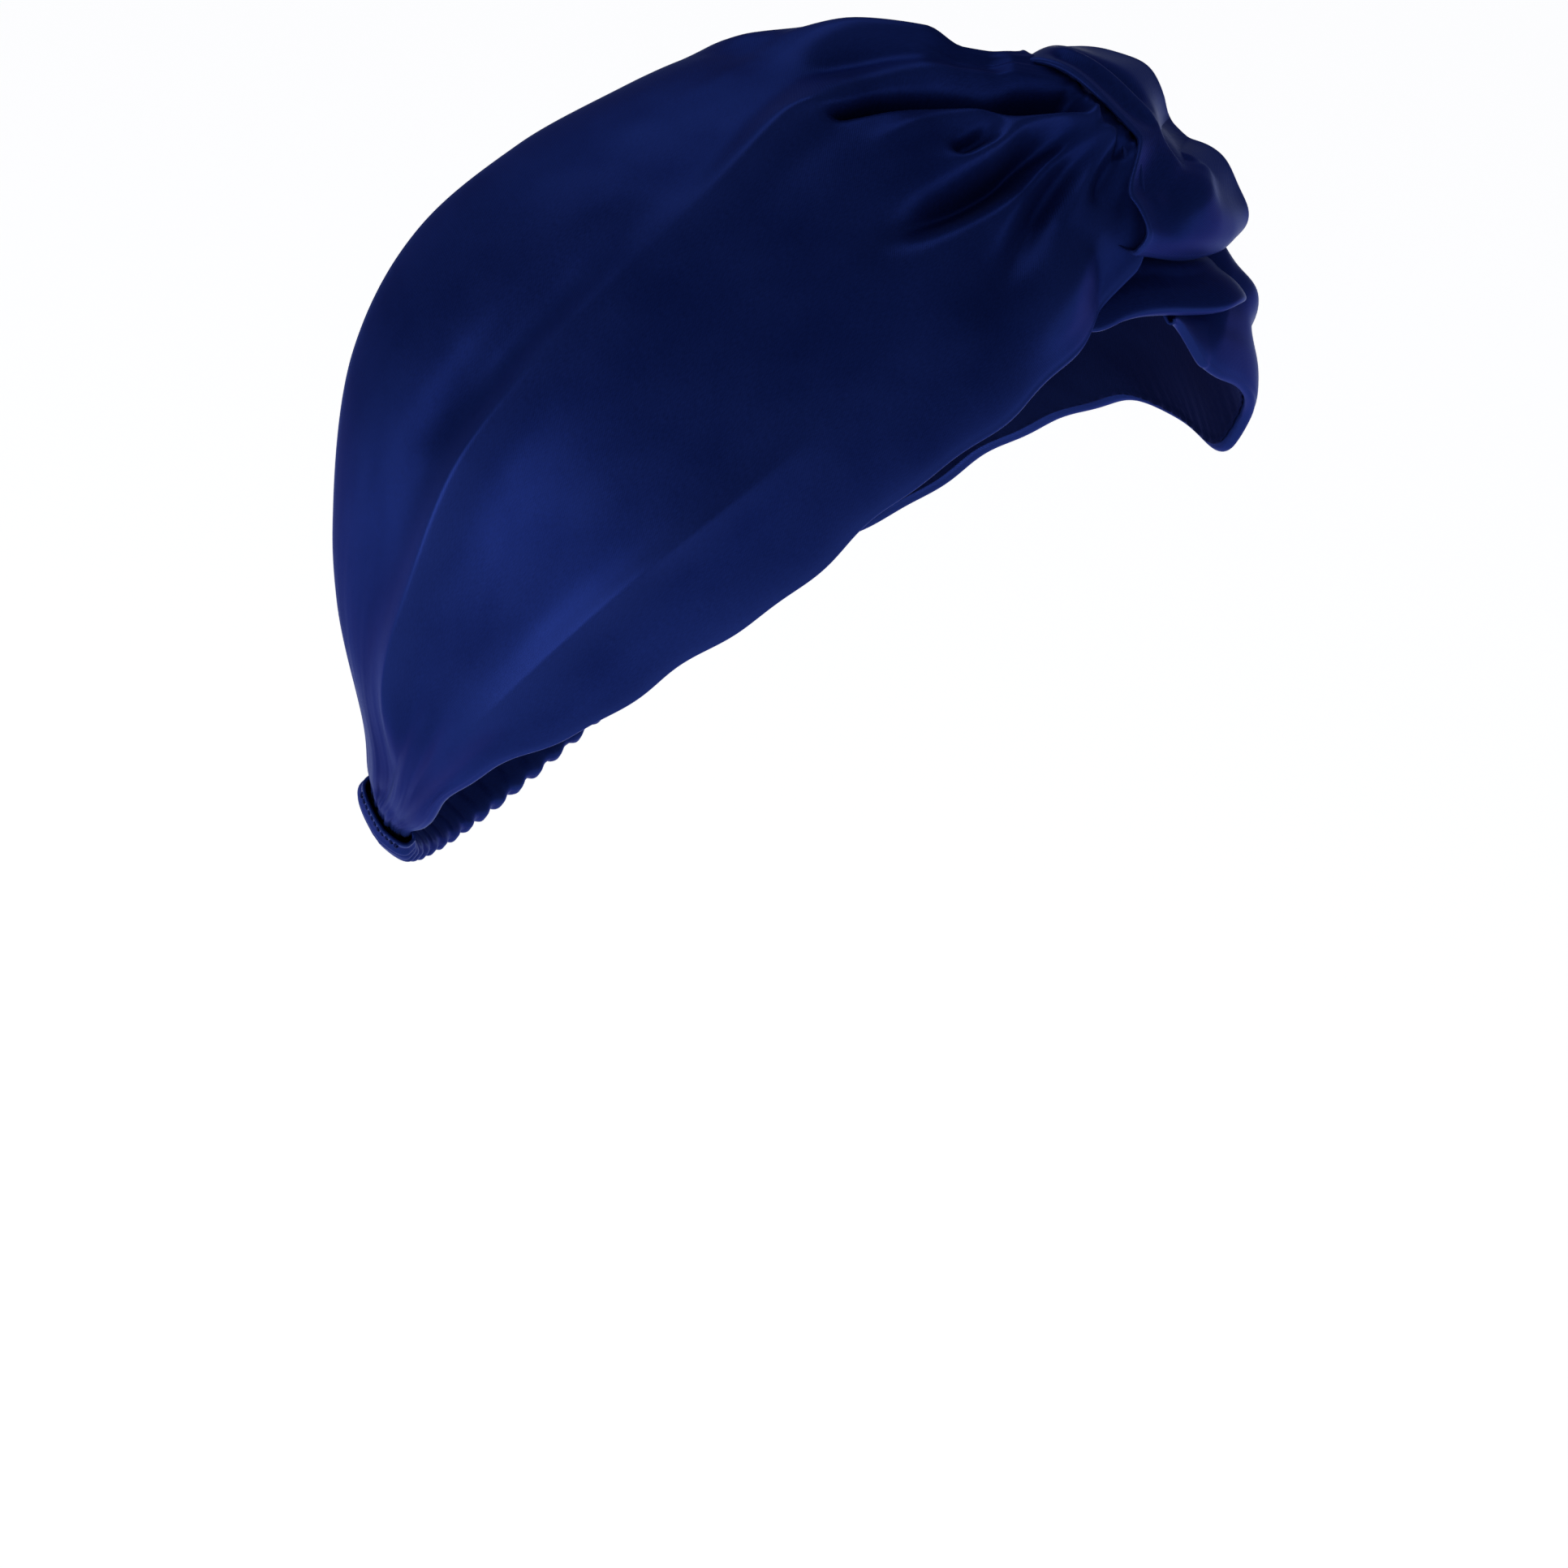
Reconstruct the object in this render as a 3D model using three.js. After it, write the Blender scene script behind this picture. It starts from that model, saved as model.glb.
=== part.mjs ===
// Knotted headband, in the shape it has on a head.
// Millimetres, +Z up. The wearer faces -Y, and the wearer's right is -X.
// The origin is the centre of the head opening, where the middle of the head sits.
//
// Places on the band are given by three values. "around" is the angle along the loop:
// 0 at the knot, positive down the wearer's right, 180 at the nape, negative down the left.
// "across" is the angle over the band's width: negative to the rear, positive to the face.
// "lift" is the height over the head's surface.
import * as THREE from 'three';

const DEG = Math.PI / 180;

// Head form that the band wraps: half width, half length, half height.
const HEAD = new THREE.Vector3(80, 94, 89);
// Towards the nape the band's rear edge lies closer in, because the neck is upright there.
const NAPE_TUCK = { from: 118, to: 148, depth: 0.5 };
// Direction of the knot from the origin, tipped from straight up towards the face.
const KNOT_TILT = 42 * DEG;

// Cloth: satin outside, satin lining inside, both given a thickness that makes a solid.
const OUTER_THICK = 1.1;
const LINING_THICK = 0.8;
const LINING_LIFT = 1.0;
const LINING_INSET = 1.6;
const EDGE_LIFT = 3.4;

// Edges of a side panel in degrees across, and its fullness in mm, from the knot to the nape.
const PANEL_STATIONS = [
  { around: 6, rear: -26, front: 20.5, full: 8 },
  { around: 18, rear: -34.5, front: 24, full: 9 },
  { around: 30, rear: -41, front: 22.5, full: 8 },
  { around: 48, rear: -48.5, front: 20, full: 6 },
  { around: 72, rear: -51.5, front: 18, full: 4.5 },
  { around: 94, rear: -45, front: 14, full: 3.5 },
  { around: 112, rear: -29, front: 8.5, full: 3 },
  { around: 128, rear: -12, front: 4.8, full: 2.5 },
  { around: 144, rear: -5.8, front: 4, full: 1.6 },
];
// The twist of the knot sets the right panel to the rear beside it, and the left one forward.
const TWIST = {
  right: { size: -7, around: 0, reach: 32 },
  left: { size: 13, around: 34, reach: 24 },
};
const PANEL_START = { right: { rear: 5, front: 12 }, left: { rear: 21, front: 14 } };
const PANEL_END = 144;
const STAND_OFF = { height: 6, around: 20, reach: 12 };
// Exponent of the panel's dome across its width: under 1 makes it full near the edges.
const DOME_POWER = 0.7;
const PLEATS = 3.5;
const PLEAT_DEPTH = 2.6;
const PLEAT_REACH = 16;

// Knot: a loop that goes round both gathered ends, and a second loop at its front edge.
const KNOT_LEFTWARD = 6;
const LOOP_HALF_WIDTH = 17;
const LOOP_SLANT = -12 * DEG;
const LOOP_LIFT = 10;
const LOOP_CENTRE_ACROSS = 4;
const LOOP_OUTSIDE = new THREE.Vector2(24, 12);
const LOOP_INSIDE = new THREE.Vector2(18.5, 6.2);
// The loop is fuller in the middle than at its hems, and flatter on the side that lies on the head.
const LOOP_PUFF = 0.12;
const UNDERSIDE = 0.55;
const NECK = new THREE.Vector2(15.5, 4.8);
const NECK_INNER_END = 1;
const NECK_RUFFLES = { count: 5, depth: 0.1 };
const LOWER_LOOP = { from: -12.5, to: 7, across: 22, lift: 8.5, halfWide: 6, halfThick: 4.5 };
// How much of the lower loop's section is left at its rounded ends.
const LOWER_LOOP_END = 0.15;

// Nape: a ruched casing with an elastic strip inside it.
const CASING_START = 145.8;
const NAPE_ACROSS = -0.9;
const CASING_HALF_WIDTH = 4.9;
const CASING_LIFT = { inside: 0.8, outside: 5.6 };
const CASING_WALL = 1.2;
const RUCHES = 16;
const RUCHE_DEPTH = 0.7;
// Exponents of the casing's section, which is a rounded rectangle.
const CASING_CORNER = { across: 0.5, lift: 0.6 };
const ELASTIC_HALF_WIDTH = 3.0;
const ELASTIC_LIFT = { inside: 2.6, outside: 3.7 };
const SEAM = { from: 144.3, to: 145.5, halfWidth: 4.7, inside: 1.4, outside: 4.2 };
const STITCH = { count: 9, height: 0.3 };
const TACK = { halfLong: 9, halfWide: 1.4, lift: 1.6, thick: 1.1, turns: 4 };

const knotDir = new THREE.Vector3(0, -Math.sin(KNOT_TILT), Math.cos(KNOT_TILT));
const faceDir = new THREE.Vector3(0, -Math.cos(KNOT_TILT), -Math.sin(KNOT_TILT));
const rightDir = new THREE.Vector3(-1, 0, 0);

// Distance from the origin to the head's surface along a unit direction.
function headRadius(dir) {
  return 1 / dir.clone().divide(HEAD).length();
}

// A point of the band, from its two angles in degrees and its lift in mm.
function place(around, across, lift) {
  const dir = knotDir.clone().multiplyScalar(Math.cos(around * DEG));
  dir.addScaledVector(rightDir, Math.sin(around * DEG));
  dir.multiplyScalar(Math.cos(across * DEG));
  dir.addScaledVector(faceDir, Math.sin(across * DEG));
  const fromKnot = Math.min(Math.abs(around), 360 - Math.abs(around));
  const nape = THREE.MathUtils.smoothstep(fromKnot, NAPE_TUCK.from, NAPE_TUCK.to);
  const tuck = NAPE_TUCK.depth * nape * Math.max(-across, 0);
  return dir.multiplyScalar(headRadius(dir) + lift - tuck);
}

// A smooth value between the panel's stations.
function station(around, key) {
  const rows = PANEL_STATIONS;
  let i = 0;
  while (i < rows.length - 2 && around > rows[i + 1].around) i += 1;
  const slope = (k) => {
    const a = rows[Math.max(k - 1, 0)];
    const b = rows[Math.min(k + 1, rows.length - 1)];
    return (b[key] - a[key]) / (b.around - a.around);
  };
  const span = rows[i + 1].around - rows[i].around;
  const t = (around - rows[i].around) / span;
  const h1 = t * t * (3 - 2 * t);
  const h2 = t * (1 - t) * (1 - t) * span;
  const h3 = t * t * (t - 1) * span;
  return rows[i][key] * (1 - h1) + rows[i + 1][key] * h1 + slope(i) * h2 + slope(i + 1) * h3;
}

// A closed mesh from a list of points and a list of triangles.
function solid(points, faces) {
  const geometry = new THREE.BufferGeometry();
  const flat = points.flatMap((p) => [p.x, p.y, p.z]);
  geometry.setAttribute('position', new THREE.Float32BufferAttribute(flat, 3));
  geometry.setIndex(faces);
  geometry.computeVertexNormals();
  return geometry;
}

// Turns every face round when the mesh encloses a negative volume.
function facingOut(points, faces) {
  let volume = 0;
  for (let i = 0; i < faces.length; i += 3) {
    const [a, b, c] = [points[faces[i]], points[faces[i + 1]], points[faces[i + 2]]];
    volume += a.dot(b.clone().cross(c));
  }
  if (volume > 0) return faces;
  const turned = [];
  for (let i = 0; i < faces.length; i += 3) turned.push(faces[i], faces[i + 2], faces[i + 1]);
  return turned;
}

// A solid between two sheets of points: top(u, v) and bottom(u, v), both from 0 to 1.
function slab(top, bottom, nu, nv) {
  const points = [];
  for (const sheet of [top, bottom]) {
    for (let i = 0; i <= nu; i += 1) {
      for (let j = 0; j <= nv; j += 1) points.push(sheet(i / nu, j / nv));
    }
  }
  const half = (nu + 1) * (nv + 1);
  const at = (side, i, j) => side * half + i * (nv + 1) + j;
  const faces = [];
  const quad = (a, b, c, d) => faces.push(a, b, c, a, c, d);
  for (let i = 0; i < nu; i += 1) {
    for (let j = 0; j < nv; j += 1) {
      quad(at(0, i, j), at(0, i + 1, j), at(0, i + 1, j + 1), at(0, i, j + 1));
      quad(at(1, i, j), at(1, i, j + 1), at(1, i + 1, j + 1), at(1, i + 1, j));
    }
  }
  for (let i = 0; i < nu; i += 1) {
    quad(at(1, i, 0), at(1, i + 1, 0), at(0, i + 1, 0), at(0, i, 0));
    quad(at(0, i, nv), at(0, i + 1, nv), at(1, i + 1, nv), at(1, i, nv));
  }
  for (let j = 0; j < nv; j += 1) {
    quad(at(0, 0, j), at(0, 0, j + 1), at(1, 0, j + 1), at(1, 0, j));
    quad(at(1, nu, j), at(1, nu, j + 1), at(0, nu, j + 1), at(0, nu, j));
  }
  return solid(points, facingOut(points, faces));
}

// A tube with walls: outer(u, a) and inner(u, a), u along it and a once round it, 0 to 1.
function tube(outer, inner, nu, na) {
  const points = [];
  for (const wall of [outer, inner]) {
    for (let i = 0; i <= nu; i += 1) {
      for (let k = 0; k < na; k += 1) points.push(wall(i / nu, k / na));
    }
  }
  const half = (nu + 1) * na;
  const at = (side, i, k) => side * half + i * na + (k % na);
  const faces = [];
  const quad = (a, b, c, d) => faces.push(a, b, c, a, c, d);
  for (let k = 0; k < na; k += 1) {
    for (let i = 0; i < nu; i += 1) {
      quad(at(0, i, k), at(0, i + 1, k), at(0, i + 1, k + 1), at(0, i, k + 1));
      quad(at(1, i, k), at(1, i, k + 1), at(1, i + 1, k + 1), at(1, i + 1, k));
    }
    quad(at(0, 0, k), at(0, 0, k + 1), at(1, 0, k + 1), at(1, 0, k));
    quad(at(1, nu, k), at(1, nu, k + 1), at(0, nu, k + 1), at(0, nu, k));
  }
  return solid(points, facingOut(points, faces));
}

// A bar with rounded section and closed ends: section(u, a), u along it, a once round it.
function bar(section, nu, na) {
  const points = [];
  for (let i = 0; i <= nu; i += 1) {
    for (let k = 0; k < na; k += 1) points.push(section(i / nu, k / na));
  }
  const middle = (i) => {
    const sum = new THREE.Vector3();
    for (let k = 0; k < na; k += 1) sum.add(points[i * na + k]);
    return sum.divideScalar(na);
  };
  points.push(middle(0), middle(nu));
  const last = points.length - 1;
  const at = (i, k) => i * na + (k % na);
  const faces = [];
  for (let k = 0; k < na; k += 1) {
    for (let i = 0; i < nu; i += 1) {
      faces.push(at(i, k), at(i + 1, k), at(i + 1, k + 1));
      faces.push(at(i, k), at(i + 1, k + 1), at(i, k + 1));
    }
    faces.push(last - 1, at(0, k), at(0, k + 1));
    faces.push(last, at(nu, k + 1), at(nu, k));
  }
  return solid(points, facingOut(points, faces));
}

// Height of the satin over the head: full in the middle, pleated near the knot.
function outerLift(around, v) {
  const dome = Math.pow(Math.sin(Math.PI * v), DOME_POWER);
  const reach = Math.exp(-(around - PANEL_STATIONS[0].around) / PLEAT_REACH);
  const pleats = reach * Math.cos(2 * Math.PI * PLEATS * v);
  return EDGE_LIFT + dome * (station(around, 'full') + PLEAT_DEPTH * pleats);
}

// Angle across the band at v, 0 at the rear edge and 1 at the front edge, less an inset.
// side is 1 on the wearer's right and -1 on the left.
function acrossAt(side, around, v, inset) {
  const twist = side > 0 ? TWIST.right : TWIST.left;
  const near = (around - twist.around) / twist.reach;
  const shift = twist.size * Math.exp(-near * near);
  const rear = station(around, 'rear') + inset;
  const front = station(around, 'front') - inset;
  return THREE.MathUtils.lerp(rear, front, v) + shift;
}

// Angle around at u along a side panel; its end at the knot is cut at a slant.
function aroundAt(side, u, v, inset) {
  const start = side > 0 ? PANEL_START.right : PANEL_START.left;
  const near = THREE.MathUtils.lerp(start.rear, start.front, v);
  return THREE.MathUtils.lerp(near + inset, PANEL_END - inset, u);
}

// How far the left panel's front edge stands off the forehead beside the knot.
function standOff(side, around, v) {
  if (side > 0) return 0;
  const near = (around - STAND_OFF.around) / STAND_OFF.reach;
  return STAND_OFF.height * Math.exp(-near * near) * v * v;
}

// One side panel's satin.
function outerPanel(side) {
  const sheet = (drop) => (u, v) => {
    const around = aroundAt(side, u, v, 0);
    const lift = outerLift(around, v) + standOff(side, around, v) - drop;
    return place(side * around, acrossAt(side, around, v, 0), lift);
  };
  return slab(sheet(0), sheet(OUTER_THICK), 30, 12);
}

// One side panel's lining, set in from the satin's edges.
function liningPanel(side) {
  const sheet = (lift) => (u, v) => {
    const around = aroundAt(side, u, v, LINING_INSET);
    const off = standOff(side, around, v);
    return place(side * around, acrossAt(side, around, v, LINING_INSET), lift + off);
  };
  return slab(sheet(LINING_LIFT + LINING_THICK), sheet(LINING_LIFT), 26, 8);
}

// Frame of the knot: x to the wearer's left, y towards the face, z away from the head.
const knotCentre = place(0, LOOP_CENTRE_ACROSS, LOOP_LIFT);
function knotPoint(x, y, z) {
  return knotCentre.clone().add(new THREE.Vector3(KNOT_LEFTWARD + x, 0, 0)).addScaledVector(faceDir, y)
    .addScaledVector(knotDir, z);
}

// The upper loop: a puffed ring, set at a slant, that both gathered ends pass through.
function upperLoop() {
  const wall = (radii, puff) => (u, a) => {
    const x = THREE.MathUtils.lerp(-LOOP_HALF_WIDTH, LOOP_HALF_WIDTH, u);
    const swell = 1 - puff * Math.pow(Math.abs(2 * u - 1), 3);
    const y = radii.x * Math.cos(2 * Math.PI * a) * swell;
    const z = radii.y * Math.sin(2 * Math.PI * a) * swell;
    const flat = z < 0 ? UNDERSIDE : 1;
    return knotPoint(x + y * Math.tan(LOOP_SLANT), y, z * flat);
  };
  return tube(wall(LOOP_OUTSIDE, LOOP_PUFF), wall(LOOP_INSIDE, 0), 10, 28);
}

// One gathered panel end inside the upper loop.
function gatheredEnd(side) {
  const section = (u, a) => {
    const x = -side * THREE.MathUtils.lerp(NECK_INNER_END, LOOP_HALF_WIDTH, u);
    const ruffle = 1 + NECK_RUFFLES.depth * Math.cos(2 * Math.PI * NECK_RUFFLES.count * a);
    const y = NECK.x * Math.cos(2 * Math.PI * a) * ruffle;
    const z = NECK.y * Math.sin(2 * Math.PI * a) * ruffle;
    return knotPoint(x, y, z < 0 ? z * UNDERSIDE : z);
  };
  return bar(section, 6, 30);
}

// The lower loop: a soft roll along the front edge of the knot.
function lowerLoop() {
  const section = (u, a) => {
    const around = THREE.MathUtils.lerp(LOWER_LOOP.from, LOWER_LOOP.to, u);
    const taper = Math.sqrt(Math.max(1 - Math.pow(2 * u - 1, 6), LOWER_LOOP_END));
    const y = LOWER_LOOP.halfWide * Math.cos(2 * Math.PI * a) * taper;
    const z = LOWER_LOOP.halfThick * Math.sin(2 * Math.PI * a) * taper;
    return place(around, LOWER_LOOP.across + (y / HEAD.y) / DEG, LOWER_LOOP.lift + z);
  };
  return bar(section, 14, 16);
}

// The nape casing: a flat tube, ruched along its length and open at both ends.
function napeCasing() {
  const wall = (inset, ruche) => (u, a) => {
    const around = THREE.MathUtils.lerp(CASING_START, 360 - CASING_START, u);
    const low = CASING_LIFT.inside + inset;
    const high = CASING_LIFT.outside - inset;
    const wave = ruche * RUCHE_DEPTH * Math.cos(2 * Math.PI * RUCHES * u);
    const width = CASING_HALF_WIDTH - (inset / HEAD.y) / DEG;
    const cos = Math.cos(2 * Math.PI * a);
    const sin = Math.sin(2 * Math.PI * a);
    const across = NAPE_ACROSS + width * Math.sign(cos) * Math.pow(Math.abs(cos), CASING_CORNER.across);
    const up = Math.sign(sin) * Math.pow(Math.abs(sin), CASING_CORNER.lift);
    const lift = (low + high) / 2 + (high - low) / 2 * up;
    return place(around, across, lift + (sin > 0 ? wave : 0));
  };
  return tube(wall(0, 1), wall(CASING_WALL, 0), 48, 14);
}

// The elastic strip inside the casing.
function napeElastic() {
  const sheet = (lift) => (u, v) => {
    const around = THREE.MathUtils.lerp(CASING_START, 360 - CASING_START, u);
    return place(around, NAPE_ACROSS + (2 * v - 1) * ELASTIC_HALF_WIDTH, lift);
  };
  return slab(sheet(ELASTIC_LIFT.outside), sheet(ELASTIC_LIFT.inside), 30, 2);
}

// The line of stitches that joins a side panel to the casing.
function endSeam(side) {
  const sheet = (lift, wave) => (u, v) => {
    const around = THREE.MathUtils.lerp(SEAM.from, SEAM.to, v);
    const across = NAPE_ACROSS + (2 * u - 1) * SEAM.halfWidth;
    const bump = wave * Math.cos(2 * Math.PI * STITCH.count * u);
    return place(side * around, across, lift + bump);
  };
  return slab(sheet(SEAM.outside, STITCH.height), sheet(SEAM.inside, 0), 36, 2);
}

// The hand tack under the knot that keeps the loops from slipping.
function knotTack() {
  const sheet = (lift) => (u, v) => {
    const zigzag = TACK.halfWide * Math.sin(2 * Math.PI * TACK.turns * u);
    const across = THREE.MathUtils.lerp(-TACK.halfLong, TACK.halfLong, u) / HEAD.y / DEG;
    const around = (zigzag + (v - 0.5) * TACK.halfWide) / HEAD.x / DEG;
    return place(around, LOOP_CENTRE_ACROSS + across, lift);
  };
  return slab(sheet(TACK.lift + TACK.thick), sheet(TACK.lift), 32, 1);
}

const satin = () => new THREE.MeshStandardMaterial({ color: 0x1c2a78, roughness: 0.38, metalness: 0 });
const lining = () => new THREE.MeshStandardMaterial({ color: 0x18246a, roughness: 0.5, metalness: 0 });
const elastic = () => new THREE.MeshStandardMaterial({ color: 0x14192f, roughness: 0.8, metalness: 0 });
const thread = () => new THREE.MeshStandardMaterial({ color: 0x1a2560, roughness: 0.7, metalness: 0 });

function piece(name, geometry, material) {
  const mesh = new THREE.Mesh(geometry, material);
  mesh.name = name;
  return mesh;
}

const headband = new THREE.Group();
for (const [label, side] of [['right', 1], ['left', -1]]) {
  headband.add(piece(`${label}_outer_panel`, outerPanel(side), satin()));
  headband.add(piece(`${label}_lining`, liningPanel(side), lining()));
  headband.add(piece(`${label}_gathered_end`, gatheredEnd(side), satin()));
  headband.add(piece(`${label}_end_seam`, endSeam(side), thread()));
}
headband.add(piece('knot_upper_loop', upperLoop(), satin()));
headband.add(piece('knot_lower_loop', lowerLoop(), satin()));
headband.add(piece('knot_tack', knotTack(), thread()));
headband.add(piece('nape_casing', napeCasing(), satin()));
headband.add(piece('nape_elastic', napeElastic(), elastic()));

export default headband;
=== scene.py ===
import math

import bpy
import numpy as np
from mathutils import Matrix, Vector


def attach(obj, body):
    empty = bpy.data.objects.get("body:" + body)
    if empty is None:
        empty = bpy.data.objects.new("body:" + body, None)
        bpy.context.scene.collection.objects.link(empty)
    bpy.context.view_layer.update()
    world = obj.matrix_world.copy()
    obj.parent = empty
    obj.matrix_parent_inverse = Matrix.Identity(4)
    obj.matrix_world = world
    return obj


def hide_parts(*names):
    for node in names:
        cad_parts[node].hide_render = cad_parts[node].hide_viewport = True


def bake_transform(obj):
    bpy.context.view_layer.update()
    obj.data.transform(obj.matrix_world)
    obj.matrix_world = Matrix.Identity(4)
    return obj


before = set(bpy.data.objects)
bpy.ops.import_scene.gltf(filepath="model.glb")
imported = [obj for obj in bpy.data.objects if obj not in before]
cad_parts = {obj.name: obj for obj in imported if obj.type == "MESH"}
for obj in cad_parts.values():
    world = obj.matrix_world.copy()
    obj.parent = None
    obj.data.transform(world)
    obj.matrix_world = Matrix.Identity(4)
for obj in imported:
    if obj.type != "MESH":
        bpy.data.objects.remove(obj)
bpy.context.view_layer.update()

# ---- Sizes shared with the CAD source ----
HEAD = np.array([0.080, 0.094, 0.089])
NAPE_TUCK = {"start": 118, "end": 148, "depth": 0.0005}
KNOT_TILT = math.radians(42)
EDGE_LIFT = 0.0034
LINING_LIFT = 0.0010
STATION_AROUND = [6, 18, 30, 48, 72, 94, 112, 128, 144]
STATION = {
    "rear": [-26, -34.5, -41, -48.5, -51.5, -45, -29, -12, -5.8],
    "front": [20.5, 24, 22.5, 20, 18, 14, 8.5, 4.8, 4.0],
    "full": [0.008, 0.009, 0.008, 0.006, 0.0045, 0.0035, 0.003, 0.0025, 0.0016],
}
TWIST = {
    "right": {"size": -7, "around": 0, "reach": 32},
    "left": {"size": 13, "around": 34, "reach": 24},
}
PANEL_END = 144
STAND_OFF = {"height": 0.0052, "around": 20, "reach": 10}
EDGE_FORWARD = [(5, 6, 9), (2.6, 32, 10)]
KNOT_LEFTWARD = 0.006
LOOP_LIFT = 0.010
LOOP_CENTRE_ACROSS = 4
CASING_START = 145.8
NAPE_ACROSS = -0.9
CASING_HALF_WIDTH = 4.9
CASING_LIFT = {"inside": 0.0008, "outside": 0.0056}
ELASTIC_HALF_WIDTH = 3.0
ELASTIC_LIFT = {"inside": 0.0026, "outside": 0.0037}
SEAM = {"start": 144.3, "end": 145.5, "half_width": 4.7, "inside": 0.0014, "outside": 0.0042}

KNOT_DIR = np.array([0, -math.sin(KNOT_TILT), math.cos(KNOT_TILT)])
FACE_DIR = np.array([0, -math.cos(KNOT_TILT), -math.sin(KNOT_TILT)])
RIGHT_DIR = np.array([-1.0, 0, 0])
SIGN = {"right": 1, "left": -1}

# ---- Sizes of the cloth itself ----
SATIN_THICK = 0.00055
PANEL_FLAT = (0.262, 0.150)
PANEL_MESH = {"along": 290, "across": 180, "crowd": 1.3}
# Each edge rolls under: the roll's radius, the lip behind it in radii, and the roll's steps.
ROLL_RADIUS = 0.0010
LIP = 2.4
ROLL_STEPS = 10
# Where each panel starts inside the knot: rows of v, around, across and lift. The right panel's
# front edge starts high up, under the upper loop's hem, and comes down over the loop's near side.
# The front of the left panel starts lower down, under the lower band.
START = {
    "right": [(0, 3.4, -11.2, 0.0080), (0.06, 3.4, -10.8, 0.0150), (0.16, 3.4, -9.4, 0.0185),
              (0.34, 3.4, -5.5, 0.0198), (0.55, 3.5, -1.0, 0.0205), (0.78, 3.8, 3.2, 0.0208),
              (0.93, 4.2, 5.4, 0.0209), (1, 4.5, 6.2, 0.0209)],
    "left": [(0, 9.6, -8.0, 0.0090), (0.08, 9.6, -7.4, 0.0132), (0.3, 9.6, -1, 0.0156),
             (0.45, 9.6, 8.0, 0.0158), (0.56, 9.6, 14.2, 0.0132), (0.64, 9.6, 17.4, 0.0080),
             (0.72, 8.6, 19.2, 0.0040), (0.84, 4.5, 20.6, 0.0034), (1, -1.0, 22.6, 0.0048)],
}
# How far from its start each panel has fanned out to its full width, and come down to the head:
# degrees for its rear edge, middle and front edge.
FAN = {"right": (14.0, 11.5, 5.2), "left": (16.0, 14.0, 7.0)}
FALL = {"right": (18.5, 16.0, 9.0), "left": (13.0, 13.0, 8.0)}
# The panel narrows and flattens where it runs into the nape seam, and ends past it.
NAPE_PINCH = {"share": 0.84, "start": 138, "end": 145}
NAPE_FLATTEN = {"share": 0.55, "start": 139, "end": 146}
OVERLAP = 2.6
# How round the panel is across, and the share of that dome over which its edges lie still.
DOME_POWER = 0.7
EDGE_HELD = 0.16
# Ripples of the front edge: size in degrees, rate and phase, and where they set in.
EDGE_RIPPLES = [(0.35, 0.19, 1.3), (0.22, 0.43, 0)]
RIPPLES_FROM = (8, 20)
# Fine gathers: how many across, how they bend, and each layer's height, reaches and random seeds.
GATHER_COUNTS = (5, 8, 13, 21)
GATHER_BEND = 0.07
GATHERS = {
    "outer": {"height": 0.0008, "reach": 14, "nape_reach": 14, "nape_share": 0.8, "right": 3, "left": 8},
    "lining": {"height": 0.0004, "reach": 20, "nape_reach": 14, "nape_share": 0.8, "right": 5, "left": 6},
}
# Wear shows within this share of the width at an edge, and on folds that stand this high.
WEAR = {"edge": 0.015, "ridge": 0.003, "ridge_share": 0.6}
LINING_THICK = 0.00045
LINING_FLAT = (0.236, 0.124)
LINING_MESH = {"along": 190, "across": 90}
# The lining covers this part of its panel's length and lies inside its edges. Its lift stays below
# the satin's folds, and as it rises into the knot it stays below the panel's start.
LINING_START = {"right": 0.05, "left": 0.06}
LINING_END = 0.985
LINING_INSET = 0.0017
LINING_BELOW = 0.0022
LINING_GAP = 0.0045
LINING_TOP = 0.0125
PUCKER = {"height": 0.00018, "width": 0.06}


def smoothstep(x, start, end):
    t = np.clip((x - start) / (end - start), 0, 1)
    return t * t * (3 - 2 * t)


def mix(a, b, t):
    return a + (b - a) * t


def rounded(x, power):
    """A sine or cosine made squarer by a power under 1."""
    return np.sign(x) * np.abs(x) ** power


def tube_grid(rings, sides):
    """Places along a tube, from 0 to 1, and angles round it."""
    along = np.linspace(0, 1, rings)
    return np.meshgrid(along, np.linspace(0, 2 * np.pi, sides, endpoint=False), indexing="ij")


def place(around, across, lift):
    """Points of the band from arrays of its two angles and its lift."""
    around, across, lift = np.broadcast_arrays(around, across, lift)
    a, c = np.radians(around)[..., None], np.radians(across)[..., None]
    direction = (KNOT_DIR * np.cos(a) + RIGHT_DIR * np.sin(a)) * np.cos(c) + FACE_DIR * np.sin(c)
    radius = 1 / np.linalg.norm(direction / HEAD, axis=-1)
    from_knot = np.minimum(np.abs(around), 360 - np.abs(around))
    near_nape = smoothstep(from_knot, NAPE_TUCK["start"], NAPE_TUCK["end"])
    tuck = NAPE_TUCK["depth"] * near_nape * np.maximum(-across, 0)
    return direction * (radius + lift - tuck)[..., None]


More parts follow.
